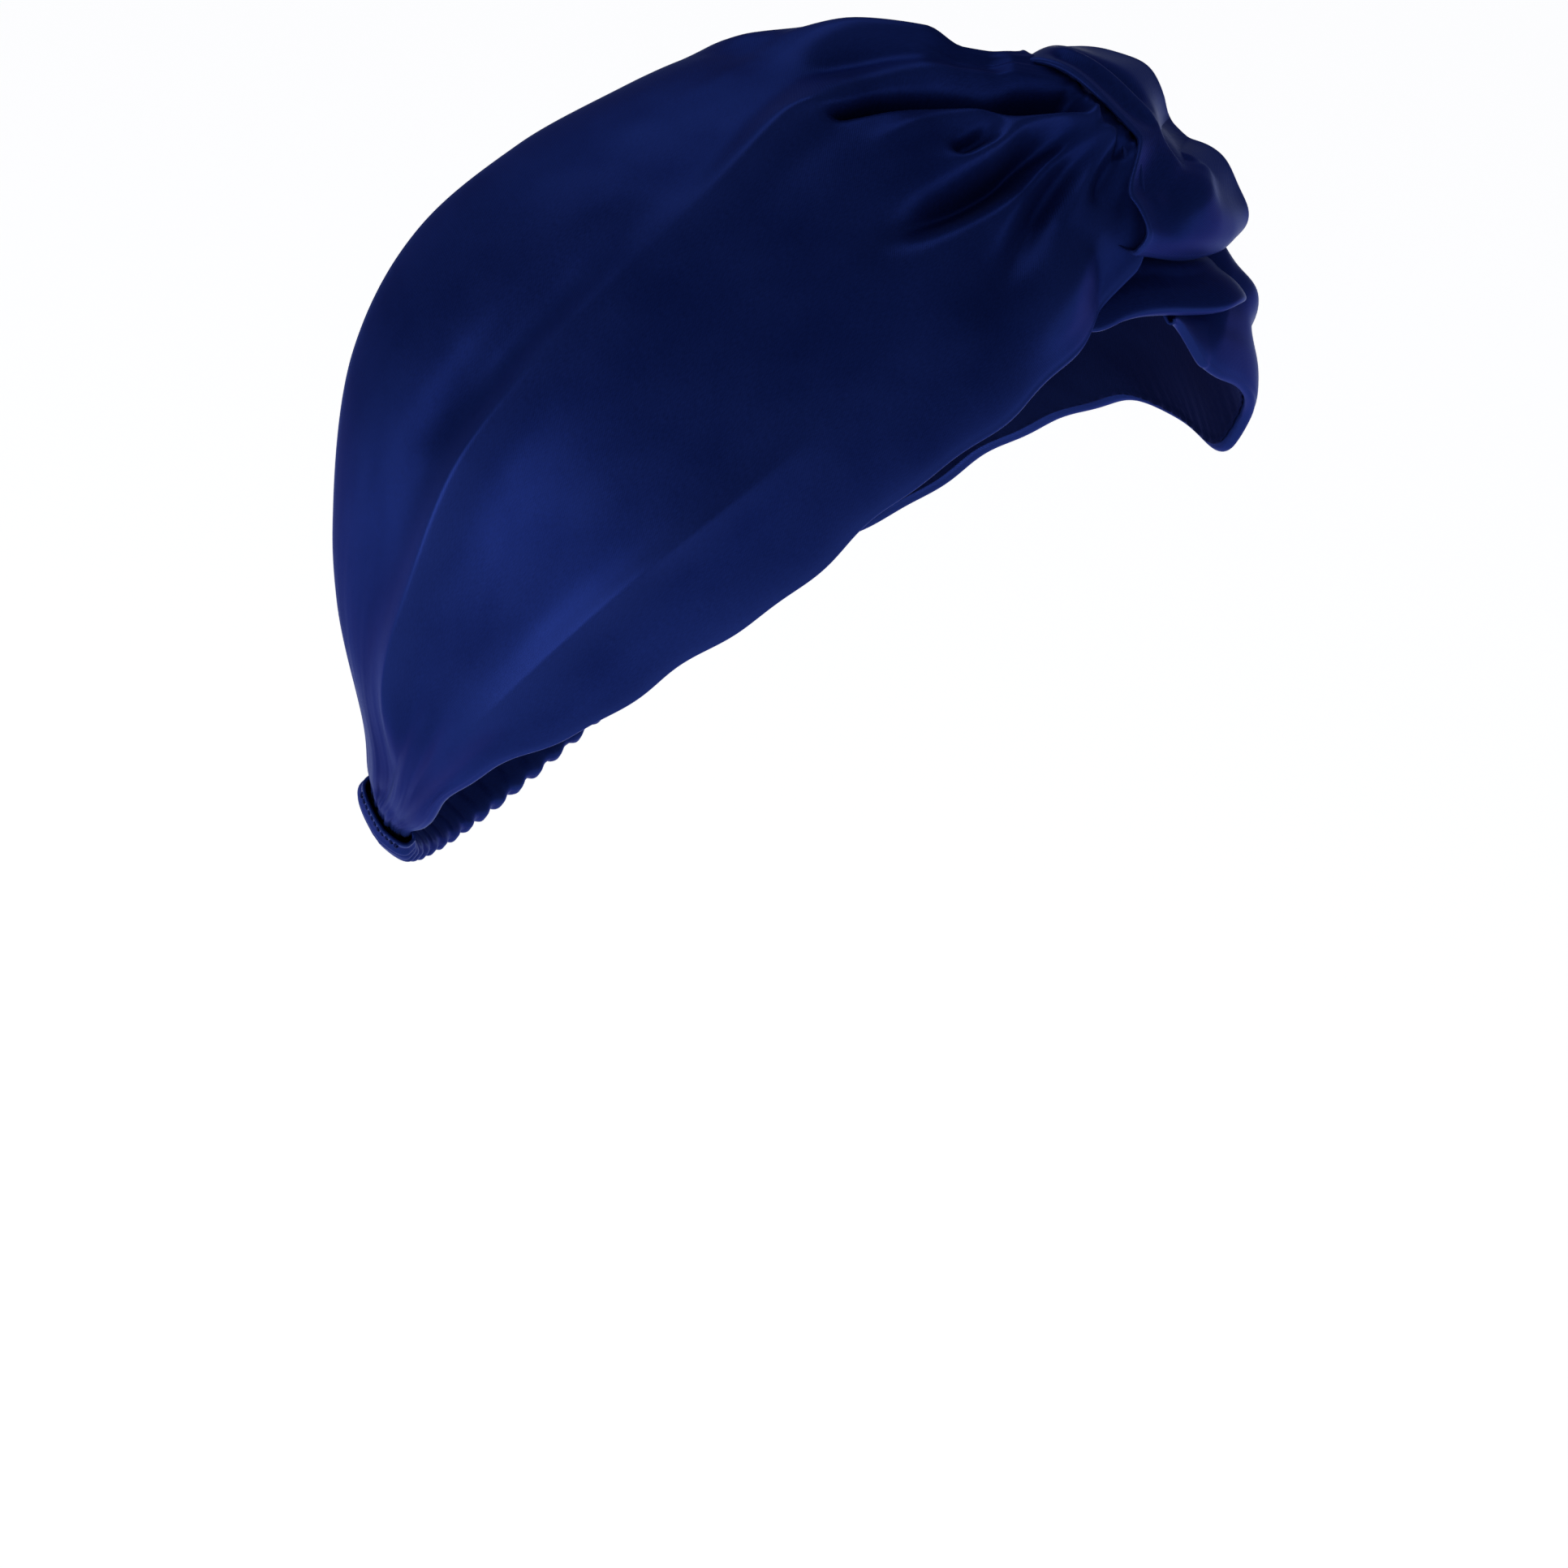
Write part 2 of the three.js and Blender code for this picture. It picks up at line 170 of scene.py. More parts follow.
def station(around, key):
    """A smooth value between the panel's stations: "rear", "front" or "full"."""
    x, y = np.array(STATION_AROUND, float), np.array(STATION[key], float)
    slope = np.empty_like(y)
    slope[1:-1] = (y[2:] - y[:-2]) / (x[2:] - x[:-2])
    slope[0] = (y[1] - y[0]) / (x[1] - x[0])
    slope[-1] = (y[-1] - y[-2]) / (x[-1] - x[-2])
    i = np.clip(np.searchsorted(x, around, side="right") - 1, 0, len(x) - 2)
    span = x[i + 1] - x[i]
    t = np.clip((around - x[i]) / span, 0, 1)
    h1 = t * t * (3 - 2 * t)
    h2 = t * (1 - t) ** 2 * span
    h3 = t * t * (t - 1) * span
    return y[i] * (1 - h1) + y[i + 1] * h1 + slope[i] * h2 + slope[i + 1] * h3


def smooth_path(points, steps=14):
    """A Catmull-Rom curve through the points, as an array."""
    p = np.array(points, float)
    p = np.vstack([2 * p[0] - p[1], p, 2 * p[-1] - p[-2]])
    out = []
    for i in range(1, len(p) - 2):
        t = np.linspace(0, 1, steps, endpoint=False)[:, None]
        a, b, c, d = p[i - 1], p[i], p[i + 1], p[i + 2]
        out.append(0.5 * (2 * b + (c - a) * t + (2 * a - 5 * b + 4 * c - d) * t**2
                          + (3 * b - a - 3 * c + d) * t**3))
    out.append(p[-2][None])
    return np.vstack(out)


def fold(x, y, path, height, width, ends=(0.3, 0.3), power=2.0, spread=1.0):
    """A ridge or groove along a path: its height at each point (x, y), fading out at the ends.
    A power under 2 makes it sharp, and one over 2 gives it a flat top and steep sides. The path's
    start is wider than its end by the spread."""
    curve = smooth_path(path)
    step = np.linalg.norm(np.diff(curve, axis=0), axis=1)
    along = np.concatenate([[0], np.cumsum(step)])
    tangent = np.gradient(curve, axis=0)
    tangent /= np.linalg.norm(tangent, axis=1, keepdims=True)
    flat = np.stack([x.ravel(), y.ravel()], 1)
    near = ((flat[:, None, :] - curve[None]) ** 2).sum(-1).argmin(1)
    gap = flat - curve[near]
    ahead = (gap * tangent[near]).sum(-1)
    beyond = np.maximum(along[near] + ahead - along[-1], 0) + np.maximum(-along[near] - ahead, 0)
    t = np.clip((along[near] + ahead) / along[-1], 0, 1)
    beside = gap[:, 0] * tangent[near, 1] - gap[:, 1] * tangent[near, 0]
    distance = np.hypot(beside, beyond)
    shape = np.exp(-((distance / (width * mix(spread, 1, t))) ** power))
    fade = smoothstep(t, 0, ends[0]) if ends[0] > 0 else 1
    fade = fade * (smoothstep(1 - t, 0, ends[1]) if ends[1] > 0 else 1)
    return (height * shape * fade).reshape(x.shape)


# ---- Meshes ----
def make_mesh(name, points, faces, uv=None, wear=None):
    """A smooth-shaded object from points, quads or triangles, a UV in metres and a wear value."""
    mesh = bpy.data.meshes.new(name)
    mesh.from_pydata(points.tolist(), [], [tuple(f) for f in faces])
    mesh.validate()
    if uv is not None:
        layer = mesh.uv_layers.new(name="cloth")
        loops = np.empty(len(mesh.loops), np.int64)
        mesh.loops.foreach_get("vertex_index", loops)
        layer.data.foreach_set("uv", uv[loops].astype(np.float32).ravel())
    if wear is not None:
        attribute = mesh.attributes.new("wear", "FLOAT", "POINT")
        attribute.data.foreach_set("value", wear.astype(np.float32))
    mesh.polygons.foreach_set("use_smooth", np.ones(len(mesh.polygons), bool))
    mesh.update()
    made = bpy.data.objects.new(name, mesh)
    bpy.context.scene.collection.objects.link(made)
    return made


def grid_normals(p):
    n = np.cross(np.gradient(p, axis=0), np.gradient(p, axis=1))
    return n / np.maximum(np.linalg.norm(n, axis=-1, keepdims=True), 1e-12)


def shell(name, top, thick, inside, flat, wear=None):
    """A closed thin sheet: top is a grid of points, and inside a point that its back faces."""
    normal = grid_normals(top)
    centre = (top.shape[0] // 2, top.shape[1] // 2)
    turned = np.sum(normal[centre] * (top[centre] - inside)) < 0
    if turned:
        normal = -normal
    back = top - normal * thick
    nu, nv = top.shape[:2]
    index = np.arange(2 * nu * nv).reshape(2, nu, nv)
    t, b = index
    quads = [
        np.stack([t[:-1, :-1], t[1:, :-1], t[1:, 1:], t[:-1, 1:]], -1),
        np.stack([b[:-1, :-1], b[:-1, 1:], b[1:, 1:], b[1:, :-1]], -1),
        np.stack([b[:-1, 0], b[1:, 0], t[1:, 0], t[:-1, 0]], -1)[:, None],
        np.stack([t[:-1, -1], t[1:, -1], b[1:, -1], b[:-1, -1]], -1)[:, None],
        np.stack([t[0, :-1], t[0, 1:], b[0, 1:], b[0, :-1]], -1)[:, None],
        np.stack([b[-1, :-1], b[-1, 1:], t[-1, 1:], t[-1, :-1]], -1)[:, None],
    ]
    faces = np.concatenate([q.reshape(-1, 4) for q in quads])
    if turned:
        faces = faces[:, ::-1]
    along, wide = np.meshgrid(np.linspace(0, flat[0], nu), np.linspace(0, flat[1], nv), indexing="ij")
    uv = np.stack([along, wide], -1).reshape(-1, 2)
    worn = None if wear is None else np.tile(wear.ravel(), 2)
    points = np.concatenate([top.reshape(-1, 3), back.reshape(-1, 3)])
    return make_mesh(name, points, faces, np.tile(uv, (2, 1)), worn)


def closed_tube(name, rings, flat, cap=True, wear=None):
    """A closed body from a grid of points: rings along it, each going once round."""
    nu, na = rings.shape[:2]
    index = np.arange(nu * na).reshape(nu, na)
    turn = np.roll(index, -1, axis=1)
    faces = np.stack([index[:-1], index[1:], turn[1:], turn[:-1]], -1).reshape(-1, 4).tolist()
    points = rings.reshape(-1, 3)
    s, t = np.meshgrid(np.linspace(0, flat[0], nu), np.linspace(0, flat[1], na), indexing="ij")
    uv = np.stack([s, t], -1).reshape(-1, 2)
    if cap:
        points = np.vstack([points, rings[0].mean(0), rings[-1].mean(0)])
        uv = np.vstack([uv, uv[0], uv[-1]])
        first, last = nu * na, nu * na + 1
        for k in range(na):
            faces.append((first, index[0, k], turn[0, k]))
            faces.append((last, turn[-1, k], index[-1, k]))
    else:
        for k in range(na):
            faces.append((index[-1, k], index[0, k], turn[0, k], turn[-1, k]))
    worn = None
    if wear is not None:
        worn = np.concatenate([wear.ravel(), np.zeros(len(points) - nu * na)])
    volume = 0.0
    for f in faces[:: max(1, len(faces) // 4000)]:
        a, b, c = points[f[0]], points[f[1]], points[f[2]]
        volume += np.dot(a - points.mean(0), np.cross(b - points.mean(0), c - points.mean(0)))
    if volume < 0:
        faces = [tuple(reversed(f)) for f in faces]
    return make_mesh(name, points, faces, uv, worn)


def join(parts, name):
    """One object from several meshes."""
    points, faces, uvs = [], [], []
    start = 0
    for part in parts:
        mesh = part.data
        co = np.array([v.co for v in mesh.vertices])
        uv = np.zeros((len(co), 2))
        for loop, item in zip(mesh.loops, mesh.uv_layers[0].data):
            uv[loop.vertex_index] = item.uv
        points.append(co)
        uvs.append(uv)
        faces += [tuple(start + i for i in p.vertices) for p in mesh.polygons]
        start += len(co)
        bpy.data.objects.remove(part)
        bpy.data.meshes.remove(mesh)
    return make_mesh(name, np.vstack(points), faces, np.vstack(uvs))


# ---- Side panels ----
# Folds of each panel: path in (around, across), height in metres, half width in degrees, how it
# fades at both ends, and where given its power and spread.
FOLDS = {
    "right": [
        ([(132, -1.5), (112, -10), (100, -14.5), (89, -18.6), (80, -20.6), (69, -21.6),
         (55, -21.6), (42, -20)],
         0.0034, 2.5, (0.22, 0.45), 1.4),
        ([(90, -23.5), (73, -26.5), (60, -27), (46, -26.5)], -0.0028, 3.2, (0.4, 0.4)),
        ([(56, -21.8), (42, -20.4), (30, -20.4), (23, -19.5), (18.5, -17.6), (14.5, -13.8),
         (11.5, -9), (8, -3)],
         0.0040, 1.8, (0.5, 0.15), 1.7, 1.5),
        ([(24, -23.6), (17, -20.6), (13, -16.6), (10, -12.4), (7, -8)], -0.0022, 1.8, (0.4, 0.1), 2, 1.5),
        ([(24, -29), (15, -24), (11, -18.6), (8, -13)], 0.0030, 3.4, (0.5, 0.2)),
        ([(27, -18.4), (22, -17.4), (17, -14.4), (13.5, -10.4), (10.5, -6.2), (7.5, -2.8), (5, -0.6)],
         -0.0120, 1.55, (0.25, 0.05), 2.4, 1.2),
        ([(27, -12.4), (20, -10.2), (15, -7.2), (11.5, -3)], 0.0018, 1.5, (0.4, 0.3)),
        ([(20, -6.0), (16.5, -5.0), (13.5, -4.3)], -0.0034, 0.85, (0.35, 0.4), 2, 1.2),
        ([(24, -4.8), (17, -3.1), (13, -2.5), (9, -1.2), (5, 0.8)], 0.0044, 1.3, (0.4, 0.1), 1.7, 1.5),
        ([(38, -5.2), (30, -3.4), (22, -1.7), (16, -0.9), (12.5, -0.9), (9.5, 0.0), (7, 0.8)],
         -0.0084, 1.3, (0.6, 0.2), 2, 2.1),
        ([(24, 3.0), (17, 2.1), (12, 1.5), (8, 2.2), (5, 3.2)], 0.0022, 1.0, (0.5, 0.1), 1.8, 1.6),
        ([(34, 8.6), (26, 7.0), (19, 5.4), (14, 3.9), (10, 3.0),
         (6.5, 3.6)], -0.0036, 1.3, (0.6, 0.15), 2, 2.2),
        ([(16, 8.6), (12, 5.8), (9, 4.2), (6, 3.9)], 0.0022, 1.1, (0.5, 0.1), 1.8, 1.5),
        ([(11.5, 8.0), (9, 6.0), (7, 4.9), (5, 4.4)], -0.0026, 0.8, (0.5, 0.1), 2, 1.6),
        ([(30, 15), (18, 12.2), (12, 9.8), (8.5, 7.4)], 0.0032, 2.6, (0.5, 0.2), 2, 1.4),
        ([(128, 0.6), (107, 2.5), (92, 3.5), (79, 4.5), (67, 5.7), (55, 6.6), (46, 7.8)],
         0.0027, 2.5, (0.3, 0.4), 1.4),
        ([(118, 5.2), (95, 8), (72, 10.5), (55, 12)], -0.0011, 3.0, (0.3, 0.4)),
        ([(110, -13), (122, -6.6), (134, -2.8), (143, -2.4)], -0.0014, 1.0, (0.5, 0.1), 1.7, 1.8),
        ([(96, -15), (108, -8.2), (122, -3.4), (143, -1.2)], -0.0012, 1.0, (0.5, 0.1), 1.7, 2.0),
        ([(100, -4), (120, -0.8), (143, 0.4)], -0.0011, 0.8, (0.6, 0.1), 1.8, 2.0),
        ([(104, 5.6), (122, 3.8), (143, 1.8)], -0.0009, 0.8, (0.5, 0.1), 1.8, 1.6),
    ],
    "left": [
        ([(128, 0), (104, -11), (84, -17), (60, -15), (40, -8), (24, -3)], 0.0028, 3.2, (0.3, 0.2), 1.6),
        ([(80, -24), (56, -22), (38, -15), (22, -8)], -0.0034, 2.4, (0.4, 0.1), 2, 1.5),
        ([(52, -6), (38, -1), (28, 2.5), (18, 4.6), (12, 5)], -0.0070, 1.7, (0.5, 0.08), 2.3, 1.7),
        ([(44, 4), (34, 7), (24, 8.4), (14, 8)], 0.0028, 1.6, (0.4, 0.1), 1.7, 1.5),
        ([(48, 11), (36, 13.5), (26, 13.6), (15, 11)], -0.0044, 1.4, (0.5, 0.1), 2, 1.7),
        ([(52, 21), (38, 24), (24, 24), (13, 20)], 0.0028, 2.8, (0.4, 0.2)),
        ([(44, 29), (30, 29), (16, 25)], -0.0018, 1.8, (0.4, 0.3)),
        ([(122, 1.2), (98, 2.6), (74, 5.2), (56, 9)], 0.0018, 3.0, (0.3, 0.4), 1.6),
        ([(102, -17), (120, -8), (143, -2.6)], -0.0013, 1.0, (0.5, 0.1), 1.7, 1.8),
        ([(106, -5), (122, -2.2), (143, -0.4)], -0.0012, 0.9, (0.5, 0.1), 1.8, 1.8),
        ([(100, 6), (120, 4.2), (143, 1.6)], -0.0009, 0.8, (0.5, 0.1), 1.8, 1.6),
    ],
}
# The lip of the deep pocket leans over it: path, degrees across, half width.
LEANS = {
    "right": [([(30, -20.4), (23, -19.4), (18.5, -17.4), (14.5, -13.4), (11.5, -8.6),
         (8, -3)], 2.2, 1.6)],
    "left": [([(50, -9), (38, -4), (28, 0), (18, 3)], 1.6, 2.0)],
}


def panel_edges(side, around):
    """Angles of the rear and the front edge."""
    rows = TWIST[side]
    twist = rows["size"] * np.exp(-(((around - rows["around"]) / rows["reach"]) ** 2))
    ripple = sum(size * np.sin(around * rate + phase) for size, rate, phase in EDGE_RIPPLES)
    rear = station(around, "rear") + twist
    front = station(around, "front") + twist + ripple * smoothstep(around, *RIPPLES_FROM)
    pinch = mix(1, NAPE_PINCH["share"], smoothstep(around, NAPE_PINCH["start"], NAPE_PINCH["end"]))
    return NAPE_ACROSS + (rear - NAPE_ACROSS) * pinch, NAPE_ACROSS + (front - NAPE_ACROSS) * pinch


def start_row(side, v, column):
    """Where the panel starts at v: column 1 is around, 2 across, 3 the lift."""
    rows = np.array(START[side], float)
    at = np.clip(v, 0, 1)
    i = np.clip(np.searchsorted(rows[:, 0], at, side="right") - 1, 0, len(rows) - 2)
    t = (at - rows[i, 0]) / (rows[i + 1, 0] - rows[i, 0])
    return mix(rows[i, column], rows[i + 1, column], t)


def ease(v, values):
    """A smooth value from the rear edge's, the middle's and the front edge's."""
    rear, middle, front = values
    return np.where(v < 0.5, mix(rear, middle, smoothstep(v, 0, 0.5)),
                    mix(middle, front, smoothstep(v, 0.5, 1)))


def gathers(side, layer, around, v):
    """Fine gathers that run out of the knot and out of the nape."""
    rows = GATHERS[layer]
    rng = np.random.default_rng(rows[side])
    from_knot = np.exp(-(around - STATION_AROUND[0]) / rows["reach"])
    from_nape = rows["nape_share"] * np.exp(-(PANEL_END - around) / rows["nape_reach"])
    total = 0 * around
    for count in GATHER_COUNTS:
        phase, bend = rng.uniform(0, 6.28, 2)
        wave = np.sin(2 * np.pi * count * v + phase + np.sin(around * GATHER_BEND + bend))
        total += wave * (from_knot + from_nape) / count
    return rows["height"] * total


def panel_frame(side, u, v):
    """Angles, height of the base and how far it has come down, at (u, v) from start to nape."""
    first = start_row(side, v, 1)
    around = mix(first, PANEL_END + OVERLAP, u)
    rear, front = panel_edges(side, np.maximum(around, STATION_AROUND[0]))
    fanned = smoothstep(around - first, 0.0, ease(v, FAN[side]))
    down = smoothstep(around - first, 0.3, ease(v, FALL[side]))
    across = mix(start_row(side, v, 2), mix(rear, front, v), fanned)
    near = (around - STAND_OFF["around"]) / STAND_OFF["reach"]
    base = np.full_like(around, EDGE_LIFT)
    if side == "left":
        base = base + STAND_OFF["height"] * np.exp(-near * near) * v**2
        for size, middle, reach in EDGE_FORWARD:
            across = across + size * np.exp(-(((around - middle) / reach) ** 2)) * v**2 * fanned
    return around, across, base, down


def on_surface(path):
    """A path's points, with around shortened as the surface narrows away from across 0."""
    return [(around * math.cos(math.radians(across)), across) for around, across in path]


def panel_relief(side, around, across, v, base, down):
    """The satin's lift with its folds, how high the folds stand, and how far they lean across."""
    dome = np.maximum(np.sin(np.pi * v), 0)
    full = station(around, "full") * dome**DOME_POWER
    flat_end = 1 - NAPE_FLATTEN["share"] * smoothstep(around, NAPE_FLATTEN["start"], NAPE_FLATTEN["end"])
    x = around * np.cos(np.radians(across))
    detail = gathers(side, "outer", around, v) * np.minimum(dome * 4, 1)
    for path, height, width, ends, *shape in FOLDS[side]:
        detail += fold(x, across, on_surface(path), height, width, ends, *shape)
    lean = np.zeros_like(x)
    for path, shift, width in LEANS[side]:
        lean += fold(x, across, on_surface(path), shift, width)
    free = smoothstep(dome, 0.0, EDGE_HELD)
    lift = mix(start_row(side, v, 3), base + full * flat_end, down) + detail * free
    return lift, detail, lean * free


def outer_panel(side):
    """The satin of one side, with its folds and its edges rolled under."""
    roll = np.radians(np.linspace(-90, 90, ROLL_STEPS + 1)[:-1])
    inset = ROLL_RADIUS * np.concatenate([[1 + LIP, 1 + LIP / 2], 1 - np.cos(roll)])
    drop = ROLL_RADIUS * np.concatenate([[2, 2], 1 - np.sin(roll)])
    ends = len(inset)
    middle = PANEL_MESH["across"]
    inset = np.concatenate([inset, np.full(middle, ROLL_RADIUS), inset[::-1]])
    drop = np.concatenate([drop, np.zeros(middle), drop[::-1]])
    v = np.concatenate([np.zeros(ends), np.linspace(0, 1, middle), np.ones(ends)])
    along = np.linspace(0, 1, PANEL_MESH["along"]) ** PANEL_MESH["crowd"]
    u, v = np.meshgrid(along, v, indexing="ij")
    around, across, base, down = panel_frame(side, u, v)
    across = across + np.degrees(inset / HEAD[1]) * (1 - 2 * v)
    lift, detail, lean = panel_relief(side, around, across, v, base, down)
    top = place(SIGN[side] * around, across + lean, lift - drop)
    edge_wear = np.exp(-np.minimum(v, 1 - v) / WEAR["edge"])
    wear = np.clip(edge_wear + WEAR["ridge_share"] * np.clip(detail / WEAR["ridge"], 0, 1), 0, 1)
    return shell(f"{side}_outer_satin", top, SATIN_THICK, np.zeros(3), PANEL_FLAT, wear)


def lining_panel(side):
    """The lining of one side: a smooth sheet with puckers along its sewn edges."""
    along = np.linspace(LINING_START[side], LINING_END, LINING_MESH["along"])
    u, v = np.meshgrid(along, np.linspace(0, 1, LINING_MESH["across"]), indexing="ij")
    around, across, base, down = panel_frame(side, u, v)
    across = across + math.degrees(LINING_INSET / HEAD[1]) * (1 - 2 * v)
    near_edge = np.exp(-np.minimum(v, 1 - v) / PUCKER["width"])
    pucker = PUCKER["height"] * np.sin(around * 3.1 + 1.5 * np.sin(around * 0.6)) * near_edge
    under = base - EDGE_LIFT + LINING_LIFT + LINING_THICK
    raised = np.minimum(start_row(side, v, 3) - LINING_GAP, LINING_TOP)
    satin = panel_relief(side, around, across, v, base, down)[0]
    lift = np.minimum(mix(raised, under, down), satin - LINING_BELOW)
    lift = lift + pucker + gathers(side, "lining", around, v)
    top = place(SIGN[side] * around, across, lift)
    return shell(f"{side}_lining_satin", top, LINING_THICK, np.zeros(3), LINING_FLAT, near_edge * 0.5)


# ---- Knot ----
KNOT_CENTRE = place(0.0, LOOP_CENTRE_ACROSS, LOOP_LIFT)
WRAP_FLAT = (0.034, 0.120)
WRAP_MESH = {"round": 260, "across": 96, "rim": 8}
# The upper loop: its hems and its reach in metres, the slant of its front and of its near hem, and
# how far it sinks towards its left hem and over the right panel's front edge.
WRAP = {
    "right_hem": -0.0140, "left_hem": 0.0170, "rear": 0.0230, "front": 0.0262, "height": 0.0122,
    "slant": 0.0080, "hem_slant": 0.0095, "wall": 0.0013, "under": 0.42, "corner": 0.62, "hem": 0.0009,
    "left_sink": 0.42, "front_sink": 0.45,
}
# Shapes on the wrap: path in (x, y) metres, height, half width, and how it fades at both ends.
DENT, RISE = (0.12, 0.25), (0.55, 0.1)
WRAP_SHAPES = [
    ([(-0.0060, -0.022), (-0.0058, -0.012), (-0.0050, -0.002), (-0.0034, 0.006)], 0.0009, 0.0018, DENT),
    ([(-0.0005, -0.022), (-0.001, -0.010), (0.0005, 0.000)], -0.0013, 0.0028, DENT),
    ([(-0.0100, -0.021), (-0.0098, -0.008), (-0.0090, 0.003)], -0.0008, 0.0018, DENT),
    ([(-0.006, 0.0070), (0.002, 0.0058), (0.012, 0.0040), (0.024, 0.0030), (0.034, 0.0028)],
     -0.0024, 0.0036, DENT),
    ([(0.004, 0.0095), (-0.003, 0.0118), (-0.010, 0.0134), (-0.018, 0.0138)], -0.0009, 0.0022, DENT),
    ([(0.005, 0.0120), (-0.001, 0.0160), (-0.008, 0.0184), (-0.018, 0.0188)], 0.0008, 0.0028, DENT),
    ([(-0.008, -0.0085), (0.006, -0.0085), (0.020, -0.0085), (0.034, -0.0085)], 0.0038, 0.0070, RISE),
    ([(-0.008, 0.0135), (0.006, 0.0135), (0.020, 0.0135), (0.034, 0.0135)], 0.0019, 0.0055, RISE),
    ([(-0.008, -0.0215), (0.006, -0.0215), (0.020, -0.0215), (0.034, -0.0215)], -0.0012, 0.0040, RISE),
]
LOWER_FLAT = (0.060, 0.028)
# The lower loop: where it runs and its section, its arch, and how it thins, drops and turns to the
# rear where it goes under the right panel. Its rear part is wider, and tucked under the upper loop.
LOWER = {
    "start": -25, "end": 16, "across": 20.5, "half_wide": 0.0052, "tuck": 1.8, "half_thick": 0.0023,
    "low": 0.0030, "rise": 0.0070, "peak": -10, "reach": 11.5, "tilt": 0.0026,
    "right": (2, 11), "right_drop": 0.0012, "right_thin": 0.6, "turn": 4.4, "turn_over": (-6, 11),
}
GATHERED_FLAT = (0.020, 0.110)
GATHERED_HALF_WIDE = 0.0175
# From and to where each gathered end reaches along x, and its half height.
GATHERED = {"right": (-0.0005, -0.0106, 0.0046), "left": (0.0005, 0.0108, 0.0035)}
TACK = {"half_long": 0.009, "half_wide": 0.0016, "lift": 0.0021, "radius": 0.00035, "turns": 5}


def knot_point(x, y, z):
    """Points of the knot: x to the wearer's left, y towards the face, z away from the head."""
    x, y, z = np.broadcast_arrays(x, y, z)
    return (KNOT_CENTRE + (KNOT_LEFTWARD + x)[..., None] * np.array([1.0, 0, 0])
            + y[..., None] * FACE_DIR + z[..., None] * KNOT_DIR)


def wrap_columns():
    """The wrap's section from hem to hem and back: place across, bulge of the hem, and depth."""
    side = np.linspace(0, 1, WRAP_MESH["across"])
    turn = np.radians(np.linspace(-90, 90, WRAP_MESH["rim"] + 2)[1:-1])
    columns = [(s, 0.0, 0.0) for s in side]
    columns += [(1.0, math.cos(t), (1 + math.sin(t)) / 2) for t in turn]
    columns += [(s, 0.0, 1.0) for s in side[::-1][::4]]
    columns += [(0.0, -math.cos(t), (1 - math.sin(t)) / 2) for t in turn]
    return (np.array(column)[None, :] for column in zip(*columns))


def wrap():
    """The upper loop: a folded band of cloth that goes round both gathered ends."""
    s, bulge, depth = wrap_columns()
    angle = np.linspace(0, 2 * np.pi, WRAP_MESH["round"], endpoint=False)[:, None]
    across = rounded(np.cos(angle), WRAP["corner"])
    up = rounded(np.sin(angle), WRAP["corner"])
    x = mix(WRAP["right_hem"], WRAP["left_hem"], s) + bulge * WRAP["hem"]
    x = x - WRAP["hem_slant"] * smoothstep(across, 0.10, 0.60) * (1 - s)
    x = x + 0.001 * smoothstep(across, 0, 1) * s
    front = WRAP["front"] - WRAP["slant"] * (1 - s) ** 2
    reach = np.where(across > 0, front, WRAP["rear"]) - WRAP["wall"] * depth
    sink = 1 - WRAP["left_sink"] * smoothstep(s, 0.22, 1.0)
    over_edge = smoothstep(across, 0.12, 0.55) * (1 - smoothstep(s, 0.05, 0.55))
    sink = sink * (1 - WRAP["front_sink"] * over_edge)
    y = reach * across * (1 + 0.02 * np.sin(np.pi * s) - 0.03 * smoothstep(s, 0.7, 1.0))
    z = (WRAP["height"] - WRAP["wall"] * depth) * up * sink
    z = np.where(z < 0, z * WRAP["under"], z)
    detail = np.zeros_like(y)
    for path, height, width, ends in WRAP_SHAPES:
        detail += fold(x + 0 * y, y, path, height, width, ends)
    on_top = smoothstep(up + 0 * y, 0.1, 0.6)
    fine = 0.00014 * np.sin(7 * angle + 4 * s)
    z = z + (detail * on_top + fine) * (1 - depth)
    rings = np.transpose(knot_point(x, y, z), (1, 0, 2))
    hems = np.exp(-np.abs(s + 0 * y) / 0.03) + np.exp(-np.abs(1 - s + 0 * y) / 0.03)
    wear = np.clip(hems + np.clip(detail / 0.0014, 0, 1) * on_top * 0.8, 0, 1)
    return closed_tube("knot_wrap_satin", rings, WRAP_FLAT, cap=False, wear=wear.T)


